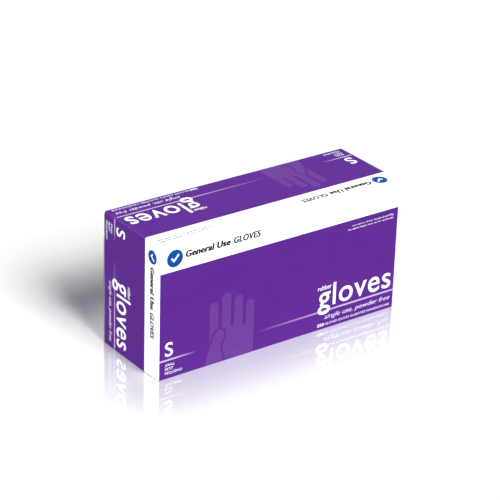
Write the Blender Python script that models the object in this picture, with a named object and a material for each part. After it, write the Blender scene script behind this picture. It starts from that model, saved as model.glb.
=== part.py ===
"""A folding carton of disposable gloves, packed and closed.

The carton stands on its long narrow side. +X runs along its length, the large
front panel faces -Y, and +Z is up. The origin is the middle of the footprint, on
the surface that the carton stands on.

The sleeve is four panels and a glued seam flap. Each end has a closure panel that
hinges on the front panel, a tuck lip that slides in behind the back panel, and
two dust flaps under it. The back panel has a dispensing window, shut by a flap
that tears open and turns up, and a small thumb tab that is pushed in first. The
gloves lie flat inside, in bundles of ten.

Every fold is an empty on its fold line, and what turns about it is its child.
"""

from math import asin, atan2, ceil, cos, pi, radians, sin, tan

import bpy
from mathutils import Matrix, Vector

MM = 0.001

# The closed carton, outside.
LENGTH = 240 * MM
DEPTH = 80 * MM
HEIGHT = 118 * MM

# The board, and the gap that keeps one piece clear of the next.
BOARD = 0.6 * MM
GAP = 0.3 * MM

# Seam flap, folded up from the bottom panel and glued inside the back panel.
SEAM_FLAP_WIDTH = 14 * MM
SEAM_FLAP_END_SLOPE = radians(30)
SEAM_FLAP_TO_TUCK_LIP = 1 * MM

# Closure panels and their tuck lips.
END_SIDE_CLEARANCE = 0.5 * MM
TUCK_LENGTH = 15 * MM
TUCK_SIDE_CLEARANCE = 3 * MM
TUCK_CORNER_RADIUS = 9 * MM
TUCK_LEAN = radians(9)  # past square, so that the lip clears the back panel as it swings out

# Dust flaps. The taper is on the side where the closure panel hinges.
DUST_LENGTH = 48 * MM
DUST_TAPER = radians(17)
DUST_TO_FRONT_PANEL = 1.3 * MM
DUST_TO_TUCK_LIP = 2 * MM
DUST_CORNER_RADIUS = 7 * MM

# Dispensing window in the back panel, and the thumb tab on its lower edge.
WINDOW_WIDTH = 116 * MM
WINDOW_HEIGHT = 44 * MM
WINDOW_UPPER_RADIUS = 4 * MM
WINDOW_LOWER_RADIUS = 18 * MM
THUMB_RADIUS = 9 * MM

# The pile of gloves. A bundle's thickness follows from the depth that the pile fills.
BUNDLES = 25
PILE_END_CLEARANCE = 6 * MM
PILE_TOP_CLEARANCE = 13 * MM
PILE_HEADROOM = 10 * MM  # behind the window, for fingertips
BUNDLE_CORNER_RADIUS = 20 * MM

ARC_STEP = radians(12)

# Colours, as linear red, green and blue.
PURPLE_INK = (0.122, 0.032, 0.301)
BARE_BOARD = (0.62, 0.60, 0.55)
BLACK_NITRILE = (0.012, 0.012, 0.014)

# Where a panel starts beyond the fold line that its outer face runs through.
FOLD = BOARD + GAP

FRONT, BACK = -DEPTH / 2, DEPTH / 2
TUCK_PLANE = BACK - FOLD  # the tuck lip's fold line, just inside the back panel
WINDOW_TOP = (HEIGHT + WINDOW_HEIGHT) / 2
WINDOW_BOTTOM = (HEIGHT - WINDOW_HEIGHT) / 2

X, Y, Z = Vector((1, 0, 0)), Vector((0, 1, 0)), Vector((0, 0, 1))
SIDES = (("left", -1), ("right", 1))


def clear_scene():
    for obj in list(bpy.data.objects):
        bpy.data.objects.remove(obj, do_unlink=True)


def make_collection(name):
    collection = bpy.data.collections.new(name)
    bpy.context.scene.collection.children.link(collection)
    return collection


def make_material(name, colour, roughness):
    material = bpy.data.materials.new(name)
    material.use_nodes = True
    shader = material.node_tree.nodes["Principled BSDF"]
    shader.inputs["Base Color"].default_value = (*colour, 1)
    shader.inputs["Roughness"].default_value = roughness
    shader.inputs["Metallic"].default_value = 0
    return material


def arc(centre, radius, start, end):
    """Points along an arc, ends included."""
    steps = max(1, ceil(abs(end - start) / ARC_STEP))
    angles = [start + (end - start) * i / steps for i in range(steps + 1)]
    return [(centre[0] + radius * cos(a), centre[1] + radius * sin(a)) for a in angles]


def rounded(corners):
    """A closed outline through (u, v, radius) corners, each rounded off by its radius."""
    points = []
    for i, (u, v, radius) in enumerate(corners):
        if radius <= 0:
            points.append((u, v))
            continue
        corner = Vector((u, v))
        before = (Vector(corners[i - 1][:2]) - corner).normalized()
        after = (Vector(corners[(i + 1) % len(corners)][:2]) - corner).normalized()
        half_angle = before.angle(after) / 2
        centre = corner + (before + after).normalized() * radius / sin(half_angle)
        first = corner + before * radius / tan(half_angle) - centre
        last = corner + after * radius / tan(half_angle) - centre
        start = atan2(first.y, first.x)
        turn = (atan2(last.y, last.x) - start + pi) % (2 * pi) - pi
        points += arc(centre, radius, start, start + turn)
    return points


def rectangle(u_low, v_low, u_high, v_high, low_radius=0, high_radius=0):
    """A rectangle, with one corner radius along its low v edge and one along its high v edge."""
    return rounded(
        [
            (u_low, v_low, low_radius),
            (u_high, v_low, low_radius),
            (u_high, v_high, high_radius),
            (u_low, v_high, high_radius),
        ]
    )


def plate(collection, name, outlines, thickness, material):
    """A flat piece of even thickness, centred on its own XY plane. Later outlines are holes."""
    curve = bpy.data.curves.new(name, "CURVE")
    curve.dimensions = "2D"
    curve.fill_mode = "BOTH"
    curve.extrude = thickness / 2
    for outline in outlines:
        spline = curve.splines.new("POLY")
        spline.points.add(len(outline) - 1)
        for point, (u, v) in zip(spline.points, outline):
            point.co = (u, v, 0, 1)
        spline.use_cyclic_u = True
    curve.materials.append(material)
    obj = bpy.data.objects.new(name, curve)
    collection.objects.link(obj)
    return obj


def fold_line(collection, name, place, away, inward, parent=None):
    """An empty on a fold line. Its Y runs away from the fold, its Z inward, and its X along the fold."""
    axes = Matrix((away.cross(inward), away, inward)).transposed().to_4x4()
    world = Matrix.Translation(place) @ axes
    empty = bpy.data.objects.new(f"fold_{name}", None)
    empty.empty_display_size = TUCK_LENGTH
    collection.objects.link(empty)
    if parent:
        empty.parent = parent
        empty.matrix_basis = parent.matrix_world.inverted() @ world
    else:
        empty.matrix_world = world
    return empty


def folded_board(collection, name, fold, outlines, material):
    """Board whose outer face lies in its fold's XY plane, with the thickness on the inward side."""
    obj = plate(collection, name, outlines, BOARD, material)
    obj.parent = fold
    obj.location = (0, 0, BOARD / 2)
    return obj


def sleeve_panel(collection, name, low, high, material):
    """A plain rectangular panel between two opposite corners."""
    low, high = Vector(low), Vector(high)
    bpy.ops.mesh.primitive_cube_add(size=1, location=(low + high) / 2)
    obj = bpy.context.object
    obj.name = name
    obj.scale = high - low
    bpy.ops.object.transform_apply(location=False, rotation=False, scale=True)
    obj.data.materials.append(material)
    for other in list(obj.users_collection):
        other.objects.unlink(obj)
    collection.objects.link(obj)
    return obj


def sleeve(collection, material):
    """Front, top and bottom panels. The last two stop where the dust flaps fold down."""
    end = LENGTH / 2
    low, high = (-end, FRONT, 0), (end, FRONT + BOARD, HEIGHT)
    sleeve_panel(collection, "front_panel", low, high, material)
    for name, z in (("bottom_panel", 0), ("top_panel", HEIGHT - BOARD)):
        low = (-end + FOLD, FRONT + FOLD, z)
        high = (end - FOLD, BACK - FOLD, z + BOARD)
        sleeve_panel(collection, name, low, high, material)


def back_panel(collection, material):
    fold = fold_line(collection, "back_panel", (0, BACK, HEIGHT), -Z, -Y)
    outline = rectangle(-LENGTH / 2, 0, LENGTH / 2, HEIGHT)
    window = rectangle(
        -WINDOW_WIDTH / 2,
        HEIGHT - WINDOW_TOP,
        WINDOW_WIDTH / 2,
        HEIGHT - WINDOW_BOTTOM,
        WINDOW_UPPER_RADIUS,
        WINDOW_LOWER_RADIUS,
    )
    folded_board(collection, "back_panel", fold, [outline, window], material)


def seam_flap(collection, material):
    fold = fold_line(collection, "seam_flap", (0, BACK - FOLD, 0), Z, -Y)
    long_half = LENGTH / 2 - TUCK_LENGTH - SEAM_FLAP_TO_TUCK_LIP
    short_half = long_half - SEAM_FLAP_WIDTH * tan(SEAM_FLAP_END_SLOPE)
    outline = rounded(
        [
            (-long_half, FOLD, 0),
            (long_half, FOLD, 0),
            (short_half, SEAM_FLAP_WIDTH, 0),
            (-short_half, SEAM_FLAP_WIDTH, 0),
        ]
    )
    folded_board(collection, "seam_flap", fold, [outline], material)


def end_closure(collection, side, sign, material):
    """A closure panel on the front panel's edge, and the tuck lip on its far edge."""
    inward = -sign * X
    end = sign * LENGTH / 2
    fold = fold_line(collection, f"{side}_end_panel", (end, FRONT, HEIGHT / 2), Y, inward)
    half = HEIGHT / 2 - END_SIDE_CLEARANCE
    outline = rectangle(-half, FOLD, half, TUCK_PLANE - FRONT)
    folded_board(collection, f"{side}_end_panel", fold, [outline], material)

    away = inward * cos(TUCK_LEAN) - Y * sin(TUCK_LEAN)
    facing = -Y * cos(TUCK_LEAN) - inward * sin(TUCK_LEAN)
    place = (end, TUCK_PLANE, HEIGHT / 2)
    lip_fold = fold_line(collection, f"{side}_tuck_lip", place, away, facing, parent=fold)
    half = HEIGHT / 2 - TUCK_SIDE_CLEARANCE
    start = (FOLD + BOARD * sin(TUCK_LEAN)) / cos(TUCK_LEAN)
    outline = rectangle(-half, start, half, TUCK_LENGTH, 0, TUCK_CORNER_RADIUS)
    folded_board(collection, f"{side}_tuck_lip", lip_fold, [outline], material)


def dust_flaps(collection, side, sign, material):
    """An upper and a lower flap, just inside the closure panel."""
    front = FRONT + FOLD + DUST_TO_FRONT_PANEL
    back = TUCK_PLANE - BOARD - DUST_TO_TUCK_LIP
    corners = (
        (front, FOLD, 0),
        (back, FOLD, 0),
        (back, DUST_LENGTH, DUST_CORNER_RADIUS),
        (front + DUST_LENGTH * tan(DUST_TAPER), DUST_LENGTH, DUST_CORNER_RADIUS),
    )
    for level, z, away in (("upper", HEIGHT, -Z), ("lower", 0, Z)):
        name = f"{side}_{level}_dust_flap"
        place = (sign * (LENGTH / 2 - FOLD), 0, z)
        inward = -sign * X
        fold = fold_line(collection, name, place, away, inward)
        mirror = away.cross(inward).y
        outline = rounded([(y * mirror, v, radius) for y, v, radius in corners])
        folded_board(collection, name, fold, [outline], material)


def window_flap(collection, material):
    """The flap that fills the window. It turns outward about the window's top edge."""
    fold = fold_line(collection, "window_flap", (0, BACK, WINDOW_TOP), -Z, -Y)
    half = WINDOW_WIDTH / 2 - GAP
    low = WINDOW_HEIGHT - GAP
    bite_radius = THUMB_RADIUS + GAP
    bite_start = -asin(GAP / bite_radius)
    bite = arc((0, WINDOW_HEIGHT), bite_radius, bite_start, -pi - bite_start)
    outline = rounded(
        [
            (-half, GAP, WINDOW_UPPER_RADIUS - GAP),
            (half, GAP, WINDOW_UPPER_RADIUS - GAP),
            (half, low, WINDOW_LOWER_RADIUS - GAP),
            *[(u, v, 0) for u, v in bite],
            (-half, low, WINDOW_LOWER_RADIUS - GAP),
        ]
    )
    folded_board(collection, "window_flap", fold, [outline], material)


def thumb_tab(collection, material):
    """A half-moon on the window's lower edge. It turns inward, so its fold line is on its inner face."""
    fold = fold_line(collection, "thumb_tab", (0, BACK - BOARD, WINDOW_BOTTOM), Z, -Y)
    start = asin(GAP / THUMB_RADIUS)
    outline = arc((0, 0), THUMB_RADIUS, start, pi - start)
    tab = folded_board(collection, "thumb_tab", fold, [outline], material)
    tab.location.z = -BOARD / 2


def glove_bundles(collection, material):
    """Bundles of ten flattened gloves, on edge on the bottom panel, from the front panel backwards."""
    pitch = (DEPTH - 2 * BOARD - PILE_HEADROOM) / BUNDLES
    thickness = pitch - GAP
    half = LENGTH / 2 - PILE_END_CLEARANCE
    outline = rectangle(
        -half, FOLD, half, HEIGHT - PILE_TOP_CLEARANCE, BUNDLE_CORNER_RADIUS, BUNDLE_CORNER_RADIUS
    )
    for i in range(BUNDLES):
        bundle = plate(collection, f"glove_bundle_{i + 1:02}", [outline], thickness, material)
        bundle.rotation_euler.x = pi / 2
        bundle.location.y = FRONT + BOARD + i * pitch + GAP + thickness / 2


def main():
    clear_scene()
    carton = make_collection("glove_box")
    printed = make_material("printed_board", PURPLE_INK, 0.42)
    bare = make_material("bare_board", BARE_BOARD, 0.85)
    nitrile = make_material("black_nitrile", BLACK_NITRILE, 0.48)

    sleeve(carton, printed)
    back_panel(carton, printed)
    seam_flap(carton, bare)
    for side, sign in SIDES:
        end_closure(carton, side, sign, printed)
        dust_flaps(carton, side, sign, bare)
    window_flap(carton, printed)
    thumb_tab(carton, printed)
    glove_bundles(carton, nitrile)


if __name__ == "__main__":
    main()
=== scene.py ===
"""Looks for a printed carton of disposable gloves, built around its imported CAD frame.

The carton is folded from one sheet of coated board. Each part of that sheet is a thin
closed shell swept along its fold profile, and the ink on it is a set of thin raised shapes.
All lengths are in metres, in the frame of the CAD: +X along the carton, the front panel
faces -Y, and +Z is up.
"""

import random
from math import asin, atan2, ceil, cos, pi, radians, sin, sqrt, tan

import bmesh
import bpy
from mathutils import Matrix, Vector, noise
from mathutils.geometry import delaunay_2d_cdt


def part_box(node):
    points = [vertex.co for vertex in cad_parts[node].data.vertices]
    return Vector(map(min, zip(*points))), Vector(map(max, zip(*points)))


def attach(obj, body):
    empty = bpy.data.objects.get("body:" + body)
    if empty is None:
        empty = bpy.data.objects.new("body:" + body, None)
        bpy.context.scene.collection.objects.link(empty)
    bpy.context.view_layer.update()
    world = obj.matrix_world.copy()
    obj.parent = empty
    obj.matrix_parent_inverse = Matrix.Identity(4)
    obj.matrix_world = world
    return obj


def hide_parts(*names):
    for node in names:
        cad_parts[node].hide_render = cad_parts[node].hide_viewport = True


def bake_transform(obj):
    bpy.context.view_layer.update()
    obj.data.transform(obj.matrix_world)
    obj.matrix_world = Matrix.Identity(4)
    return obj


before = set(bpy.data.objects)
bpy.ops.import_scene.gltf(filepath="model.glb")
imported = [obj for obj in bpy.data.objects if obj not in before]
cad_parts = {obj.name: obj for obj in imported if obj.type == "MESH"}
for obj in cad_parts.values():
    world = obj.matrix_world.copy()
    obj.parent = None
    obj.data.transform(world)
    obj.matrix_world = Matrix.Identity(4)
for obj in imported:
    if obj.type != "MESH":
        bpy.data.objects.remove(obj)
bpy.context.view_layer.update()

MM = 0.001
TINY = 1e-9  # for comparing places

# ---- sizes from the CAD frame

FRONT_LOW, FRONT_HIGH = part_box("front_panel")
END = FRONT_HIGH.x
FRONT = FRONT_LOW.y
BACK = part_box("back_panel")[1].y
HEIGHT = FRONT_HIGH.z
BOARD = FRONT_HIGH.y - FRONT_LOW.y
TOP_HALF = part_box("top_panel")[1].x
CLOSURE_LOW, CLOSURE_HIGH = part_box("left_end_panel")
LIP_LOW, LIP_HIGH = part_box("left_tuck_lip")
DUST_LOW, DUST_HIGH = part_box("left_upper_dust_flap")
SEAM_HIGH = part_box("seam_flap")[1]
FLAP_LOW, FLAP_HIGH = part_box("window_flap")

# ---- sizes of the looks

INK = 0.05 * MM  # how far the ink stands above the board
SUNK = 0.02 * MM  # how far each ink shape starts below the board's surface
LAYER = 0.012 * MM  # one ink over another
BEND = 0.9 * MM  # outer radius of a fold
BEND_STEPS = 6
ARC_STEP = radians(8)
FINE_ARC_STEP = radians(5)
SHARP = radians(30)  # an edge that turns more than this isn't smoothed over
SUPPORT = 0.3 * MM  # a row this far from a fold keeps the flat face flat
NOTCH = 0.3 * MM  # length of a slanted step in a cut edge
TUCK_LEAN = radians(9)
TUCK_CORNER = 9 * MM
DUST_TAPER = radians(17)
DUST_CORNER = 7 * MM
DUST_BLEED = 3 * MM  # how far the ink is carried past the fold onto a dust flap
SEAM_SLOPE = radians(30)
GAP = 0.3 * MM  # round the window flap and the thumb tab
WINDOW_UPPER_RADIUS = 4 * MM
WINDOW_LOWER_RADIUS = 18 * MM
THUMB_RADIUS = 9 * MM
PERFORATION_STEP = 0.5 * MM
NICK_EVERY = 9  # perforation steps
NICK = 0.11 * MM  # how far a nick reaches into the cut from each side
HINGE_SIZE = 0.8 * MM  # the strip of board that bends where the window flap and the thumb tab fold
HINGE_ROWS = 4

# Widths of the artwork's white bands: along the front edge, and at the top of the front and back.
FRONT_BAND = 24 * MM
TOP_BAND = 21 * MM
END_BAND = 20 * MM
BACK_BAND = 24 * MM

# Colours, as linear red, green and blue.
PURPLE = (0.0735, 0.0150, 0.183)
HAND_TINT = (0.0972, 0.0320, 0.202)
COATED_WHITE = (0.80, 0.80, 0.805)
LINE_SILVER = (0.42, 0.32, 0.44)
DARK_INK = (0.006, 0.005, 0.006)
BLUE_INK = (0.004, 0.052, 0.235)
GREY_INK = (0.12, 0.12, 0.13)
BARE_BOARD = (0.50, 0.46, 0.40)
BOARD_FLECKS = (0.24, 0.20, 0.15)
CUT_EDGE = (0.090, 0.024, 0.205)
EDGE_FLECKS = (0.30, 0.24, 0.30)
NITRILE = (0.020, 0.020, 0.023)

INK_ROUGHNESS = (0.40, 0.50)
INK_GLOSS = 0.02
CREASE_WEAR = 0.10  # how much of the white board shows in a fold, at most


# ---- materials

def new_material(name):
    material = bpy.data.materials.new(name)
    material.use_nodes = True
    shader = material.node_tree.nodes["Principled BSDF"]
    return material, material.node_tree, shader


def add_node(tree, kind, inputs=None, **settings):
    node = tree.nodes.new(kind)
    for key, value in settings.items():
        setattr(node, key, value)
    for key, value in (inputs or {}).items():
        if isinstance(value, bpy.types.NodeSocket):
            tree.links.new(value, node.inputs[key])
        else:
            node.inputs[key].default_value = value
    return node


def attribute(tree, name, output="Fac"):
    return add_node(tree, "ShaderNodeAttribute", attribute_name=name).outputs[output]


def noises(tree, *kinds):
    """Noise on each point's resting place, for each (size of its features, detail, roughness)."""
    rest = attribute(tree, "rest", "Vector")
    found = []
    for size, detail, roughness in kinds:
        inputs = {"Vector": rest, "Scale": 1 / size, "Detail": detail, "Roughness": roughness}
        found.append(add_node(tree, "ShaderNodeTexNoise", inputs).outputs["Fac"])
    return found


def spread(tree, value, low, high, start=0.3, end=0.7):
    """A value stretched from start..end, a noise's usual range, to low..high."""
    inputs = {
        "Value": value, "From Min": start, "From Max": end, "To Min": low, "To Max": high,
    }
    return add_node(tree, "ShaderNodeMapRange", inputs).outputs["Result"]


def mix_colour(tree, factor, first, second):
    first, second = (c if isinstance(c, bpy.types.NodeSocket) else (*c, 1) for c in (first, second))
    inputs = {0: factor, 6: first, 7: second}
    return add_node(tree, "ShaderNodeMix", inputs, data_type="RGBA").outputs[2]


def scaled(colour, factor):
    return tuple(min(1, part * factor) for part in colour)


def arithmetic(tree, operation, first, second):
    inputs = {0: first, 1: second}
    return add_node(tree, "ShaderNodeMath", inputs, operation=operation).outputs[0]


def bump(tree, heights):
    """Bump from (noise, height in metres) pairs."""
    total = None
    for value, height in heights:
        part = arithmetic(tree, "MULTIPLY", value, height)
        total = part if total is None else arithmetic(tree, "ADD", total, part)
    inputs = {"Height": total, "Distance": 1.0, "Strength": 1.0}
    return add_node(tree, "ShaderNodeBump", inputs).outputs["Normal"]


def finish_shader(tree, shader, tone, rough, heights, gloss):
    tree.links.new(tone, shader.inputs["Base Color"])
    tree.links.new(rough, shader.inputs["Roughness"])
    tree.links.new(bump(tree, heights), shader.inputs["Normal"])
    shader.inputs["Specular IOR Level"].default_value = gloss


def coated_ink(name, colour, fade_to=None, mottle=0.05):
    """Ink under a thin varnish, on coated board. Fibres show faintly, and folds are paler."""
    material, tree, shader = new_material(name)
    kinds = (18 * MM, 3.0, 0.5), (0.45 * MM, 4.0, 0.6), (1.6 * MM, 5.0, 0.65), (34 * MM, 1.0, 0.5)
    cloud, grain, fibre, sheet = noises(tree, *kinds)
    light, dark = scaled(colour, 1 + mottle), scaled(colour, 1 - mottle)
    tone = mix_colour(tree, spread(tree, cloud, 0.15, 0.85), dark, light)
    tone = mix_colour(tree, spread(tree, grain, 0.0, 0.25), tone, scaled(colour, 1 - 2 * mottle))
    if fade_to:
        tone = mix_colour(tree, attribute(tree, "fade"), fade_to, tone)
    wear = spread(tree, fibre, 0.0, CREASE_WEAR, 0.45, 0.7)
    worn = arithmetic(tree, "MULTIPLY", attribute(tree, "crease"), wear)
    tone = mix_colour(tree, worn, tone, COATED_WHITE)
    heights = ((grain, 0.006 * MM), (fibre, 0.012 * MM), (sheet, 0.25 * MM))
    finish_shader(tree, shader, tone, spread(tree, grain, *INK_ROUGHNESS), heights, INK_GLOSS)
    return material


def bare_fibre(name, colour, flecks, size):
    """Uncoated board: matt, with fibres and small flecks."""
    material, tree, shader = new_material(name)
    kinds = (12 * MM, 3.0, 0.5), (size, 6.0, 0.7), (0.9 * MM, 3.0, 0.6)
    cloud, fibre, fleck = noises(tree, *kinds)
    tone = mix_colour(tree, spread(tree, cloud, 0.0, 1.0), scaled(colour, 0.93), scaled(colour, 1.06))
    tone = mix_colour(tree, spread(tree, fibre, 0.0, 0.5), tone, scaled(colour, 0.82))
    tone = mix_colour(tree, spread(tree, fleck, 0.0, 0.6, 0.66, 0.74), tone, flecks)
    heights = ((fibre, 0.04 * MM), (fleck, 0.02 * MM))
    finish_shader(tree, shader, tone, spread(tree, fibre, 0.82, 0.95), heights, 0.25)
    return material


def glove_rubber(name):
    """Black nitrile film: satin, finely textured, with a trace of handling marks."""
    material, tree, shader = new_material(name)
    kinds = (0.5 * MM, 3.0, 0.55), (9 * MM, 2.5, 0.5), (22 * MM, 5.0, 0.7)
    pebble, crumple, dust = noises(tree, *kinds)
    tone = mix_colour(tree, spread(tree, dust, 0.0, 0.5), NITRILE, scaled(NITRILE, 2.2))
    tone = mix_colour(tree, spread(tree, pebble, 0.0, 0.3), tone, scaled(NITRILE, 1.6))
    rough = arithmetic(tree, "ADD", spread(tree, dust, 0.28, 0.42), spread(tree, pebble, -0.04, 0.04))
    finish_shader(tree, shader, tone, rough, ((pebble, 0.02 * MM), (crumple, 0.8 * MM)), 0.5)
    return material


PURPLE_PRINT = coated_ink("purple_print", PURPLE)
WHITE_PRINT = coated_ink("white_print", COATED_WHITE, mottle=0.012)
HAND_PRINT = coated_ink("pale_purple_print", HAND_TINT)
DARK_PRINT = coated_ink("dark_print", DARK_INK, mottle=0.15)
BLUE_PRINT = coated_ink("blue_print", BLUE_INK)
GREY_PRINT = coated_ink("grey_print", GREY_INK)
FADING_PRINT = coated_ink("fading_silver_print", LINE_SILVER, fade_to=PURPLE, mottle=0.03)
INSIDE = bare_fibre("uncoated_board", BARE_BOARD, BOARD_FLECKS, 0.5 * MM)
EDGE = bare_fibre("cut_board_edge", CUT_EDGE, EDGE_FLECKS, 0.12 * MM)
RUBBER = glove_rubber("black_nitrile")

BOARD_FINISHES = (PURPLE_PRINT, WHITE_PRINT, INSIDE, EDGE)
ON_PURPLE, ON_WHITE, ON_INSIDE, ON_EDGE = range(4)
INKS = (WHITE_PRINT, HAND_PRINT, PURPLE_PRINT, DARK_PRINT, BLUE_PRINT, GREY_PRINT, FADING_PRINT)
WHITE, HAND, OUTLINE, DARK, BLUE, GREY, FADING = range(7)


# ---- meshes

def add_object(name, data):
    obj = bpy.data.objects.new(name, data)
    bpy.context.scene.collection.objects.link(obj)
    return obj


def new_object(name, points, faces, finishes, finish_of, floats=None, sharp=SHARP):
    """A closed mesh with one finish per face, outward normals, and named values on its points."""
    mesh = bpy.data.meshes.new(name)
    mesh.from_pydata([tuple(p) for p in points], [], faces)
    for finish in finishes:
        mesh.materials.append(finish)
    mesh.polygons.foreach_set("material_index", finish_of)
    for key, values in (floats or {}).items():
        mesh.attributes.new(key, "FLOAT", "POINT").data.foreach_set("value", values)
    obj = add_object(name, mesh)
    settle(obj, sharp)
    return obj


def evaluated_mesh(obj):
    graph = bpy.context.evaluated_depsgraph_get()
    return bpy.data.meshes.new_from_object(obj.evaluated_get(graph))


def settle(obj, sharp=SHARP):
    """Turns the normals outward, smooths the folds, and stores where each point is at rest."""
    mesh = obj.data
    work = bmesh.new()
    work.from_mesh(mesh)
    bmesh.ops.recalc_face_normals(work, faces=work.faces)
    work.to_mesh(mesh)
    work.free()
    mesh.shade_smooth()
    mesh.set_sharp_from_angle(angle=sharp)
    rest = mesh.attributes.get("rest") or mesh.attributes.new("rest", "FLOAT_VECTOR", "POINT")
    rest.data.foreach_set("vector", [part for v in mesh.vertices for part in v.co])


def cut_across(obj, places, normal):
    """Adds a row of points where each plane meets the object, and takes nothing off."""
    work = bmesh.new()
    work.from_mesh(obj.data)
    for place in places:
        everything = work.verts[:] + work.edges[:] + work.faces[:]
        bmesh.ops.bisect_plane(work, geom=everything, plane_co=place, plane_no=normal)
    work.to_mesh(obj.data)
    work.free()
    settle(obj)


def prism_faces(count):
    """The faces of a prism whose points are its upper outline and then its lower one."""
    faces = [tuple(range(count)), tuple(range(2 * count - 1, count - 1, -1))]
    for i in range(count):
        turn = (i + 1) % count
        faces.append((i, turn, count + turn, count + i))
    return faces


def swept_faces(rows, closed=False):
    """The faces of a bar that runs through rows of four points each, with the end faces last."""
    faces = []
    for i in range(rows if closed else rows - 1):
        first, following = 4 * i, 4 * ((i + 1) % rows)
        for side in range(4):
            turn = (side + 1) % 4
            faces.append((first + side, first + turn, following + turn, following + side))
    if not closed:
        faces += [(3, 2, 1, 0), tuple(4 * rows - 4 + side for side in range(4))]
    return faces


def arc(centre, radius, start, end, step=ARC_STEP):
    count = max(1, ceil(abs(end - start) / step))
    angles = [start + (end - start) * i / count for i in range(count + 1)]
    return [(centre[0] + radius * cos(a), centre[1] + radius * sin(a)) for a in angles]


def rounded(corners):
    """A closed outline through (u, v, radius) corners, each rounded off by its radius."""
    points = []
    for i, (u, v, radius) in enumerate(corners):
        if radius <= 0:
            points.append((u, v))
            continue
        corner = Vector((u, v))
        before = (Vector(corners[i - 1][:2]) - corner).normalized()
        after = (Vector(corners[(i + 1) % len(corners)][:2]) - corner).normalized()
        half = before.angle(after) / 2
        centre = corner + (before + after).normalized() * radius / sin(half)
        first = corner + before * radius / tan(half) - centre
        last = corner + after * radius / tan(half) - centre
        start = atan2(first.y, first.x)
        turn = (atan2(last.y, last.x) - start + pi) % (2 * pi) - pi
        points += arc(centre, radius, start, start + turn)
    return points


def span_at(outline, v):
    """The lowest and highest u of a convex outline at height v."""
    found = []
    for i, (u1, v1) in enumerate(outline):
        u0, v0 = outline[i - 1]
        if min(v0, v1) - TINY <= v <= max(v0, v1) + TINY:
            if abs(v1 - v0) < TINY:
                found += [u0, u1]
            else:
                share = min(1, max(0, (v - v0) / (v1 - v0)))
                found.append(u0 + share * (u1 - u0))
    return min(found), max(found)


def cut_finish(face_finish):
    """Ink creeps a little way into the cut edges of the purple areas."""
    return ON_WHITE if face_finish == ON_WHITE else ON_EDGE


class Profile:
    """Rows across a folded sheet: its outer and inner point, its two ends, and what follows."""

    def __init__(self):
        self.rows = []

    def row(self, outer, inner, low, high, finish, crease=0.0):
        self.rows.append((outer, inner, low, high, finish, crease))

    def bend(self, centre, start, end, low, high, finish, half=None):
        """A fold about a centre. low and high are pairs: at its start and at its end.

        half is the finish of its first half, where that isn't the finish of it all.
        """
        for i in range(BEND_STEPS + 1):
            share = i / BEND_STEPS
            angle = start + (end - start) * share
            way = (cos(angle), sin(angle))
            outer = (centre[0] + BEND * way[0], centre[1] + BEND * way[1])
            inside = BEND - BOARD + INK
            inner = (centre[0] + inside * way[0], centre[1] + inside * way[1])
            ends = [pair[0] + (pair[1] - pair[0]) * share for pair in (low, high)]
            shown = half if half is not None and share < 0.5 else finish
            self.row(outer, inner, *ends, shown, sin(pi * share))

    def build(self, name, place):
        points = []
        creases = []
        finish_of = []
        for outer, inner, low, high, finish, crease in self.rows:
            corners = ((outer, low), (outer, high), (inner, high), (inner, low))
            points += [place(point, along) for point, along in corners]
            creases += [crease, crease, 0.0, 0.0]
            finish_of += [finish, cut_finish(finish), ON_INSIDE, cut_finish(finish)]
        finish_of[-4:] = [cut_finish(self.rows[0][4]), cut_finish(finish)]
        faces = swept_faces(len(self.rows))
        return new_object(name, points, faces, BOARD_FINISHES, finish_of, {"crease": creases})


def mirrored(place, sign):
    """The same placing for the left end (-1), or turned over to the right one (+1)."""
    def placed(point, along):
        where = place(point, along)
        return Vector((-sign * where.x, where.y, where.z))
    return placed


# ---- the sleeve

SKIN = INK  # the board's outer face lies this far inside the CAD's
FACE_FRONT, FACE_BACK = FRONT + SKIN, BACK - SKIN
FACE_TOP, FACE_BOTTOM = HEIGHT - SKIN, SKIN
CORNER_FRONT, CORNER_BACK = FACE_FRONT + BEND, FACE_BACK - BEND
CORNER_TOP, CORNER_BOTTOM = FACE_TOP - BEND, FACE_BOTTOM + BEND
THICK = BOARD - SKIN
EDGE_HALF = END - SKIN - BEND  # where the front panel meets the closures' folds
DUST_FOLD = TOP_HALF - BEND  # where the top panel meets the dust flaps' folds
DUST_FRONT, DUST_BACK = DUST_LOW.y, DUST_HIGH.y


def flat_rows(profile, stops, inward, finish_at):
    """Rows along a flat face: (outer point, half length) stops, each with its finish."""
    for (outer, half), finish in zip(stops, finish_at):
        inner = (outer[0] + inward[0] * THICK, outer[1] + inward[1] * THICK)
        profile.row(outer, inner, -half, half, finish)


def panel_across(profile, level, inward, band=None):
    """The top panel from the back on, with its white band, or the bottom panel from the front on.

    Both are notched at their ends beside the dust flaps.
    """
    stops = [
        (CORNER_BACK - SUPPORT, EDGE_HALF), (DUST_BACK, EDGE_HALF), (DUST_BACK - NOTCH, DUST_FOLD),
        (DUST_FRONT + NOTCH, DUST_FOLD), (DUST_FRONT, EDGE_HALF), (CORNER_FRONT + SUPPORT, EDGE_HALF),
    ]
    if band:
        stops.insert(3, (FRONT + band, DUST_FOLD))
    else:
        stops.reverse()
    finishes = [ON_WHITE if band and y <= FRONT + band else ON_PURPLE for y, _ in stops]
    flat_rows(profile, [((y, level), half) for y, half in stops], inward, finishes)


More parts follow.
